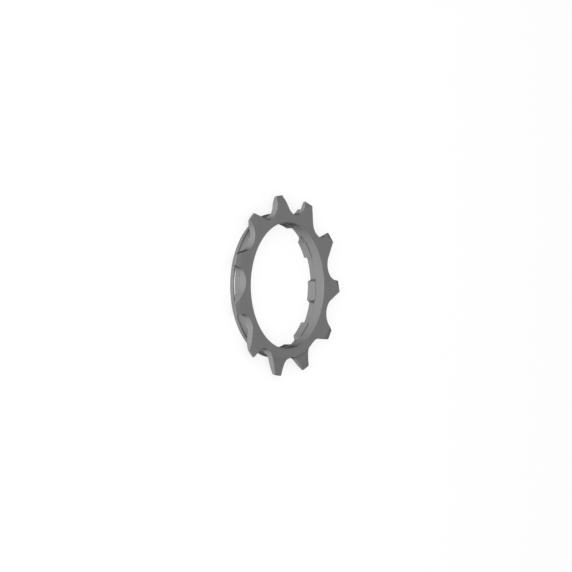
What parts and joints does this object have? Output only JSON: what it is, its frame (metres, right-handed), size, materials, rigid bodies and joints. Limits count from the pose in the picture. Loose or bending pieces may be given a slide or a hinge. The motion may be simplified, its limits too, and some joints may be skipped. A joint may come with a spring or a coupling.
{
  "type": "cassette cog",
  "caption": "Toothed ring for a bicycle chain with a spacer ring behind it and a hub bore that is plain in front and splined at the back.",
  "frame": {"origin": "on the bore's axis, in the middle of the toothed plate's thickness", "axes": "+Z along the bore, towards the outer face that the lockring clamps; one tooth lies along +X"},
  "size_m": [0.0458, 0.0462, 0.0051],
  "materials": {
    "steel": "satin, lightly machined"
  },
  "bodies": {
    "root": {"cog": "steel"}
  },
  "joints": []
}
